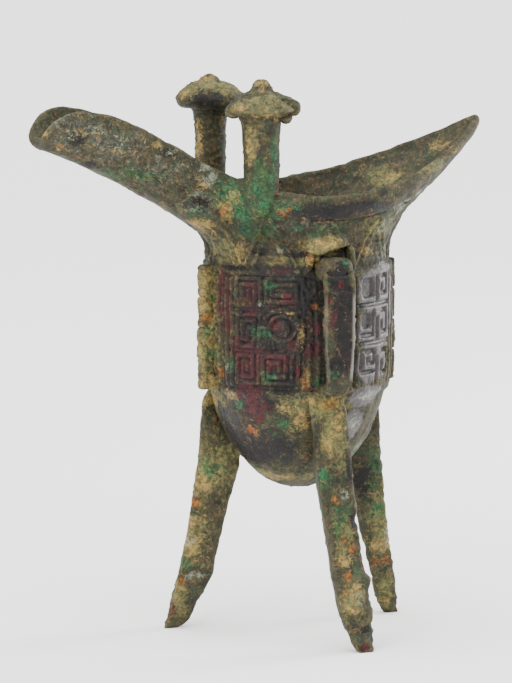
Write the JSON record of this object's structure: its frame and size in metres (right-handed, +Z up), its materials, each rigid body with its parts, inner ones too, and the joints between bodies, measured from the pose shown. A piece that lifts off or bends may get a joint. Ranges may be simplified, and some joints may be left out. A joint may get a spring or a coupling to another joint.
{
  "type": "bronze tripod wine cup",
  "caption": "Ancient cast bronze wine cup with a long pouring spout, a pointed tail, capped posts, a strap handle and splayed blade legs.",
  "frame": {"origin": "on the ground under the middle of the bounding box, at the level of the three feet", "axes": "+Z up, the spout points along -X, the tail along +X and the handle along -Y"},
  "size_m": [0.1692, 0.0846, 0.1998],
  "materials": {
    "patinated_bronze": "old cast bronze with a mottled green, brown and dark red patina"
  },
  "bodies": {
    "root": {"bronze_wine_cup": "patinated_bronze"}
  },
  "joints": []
}
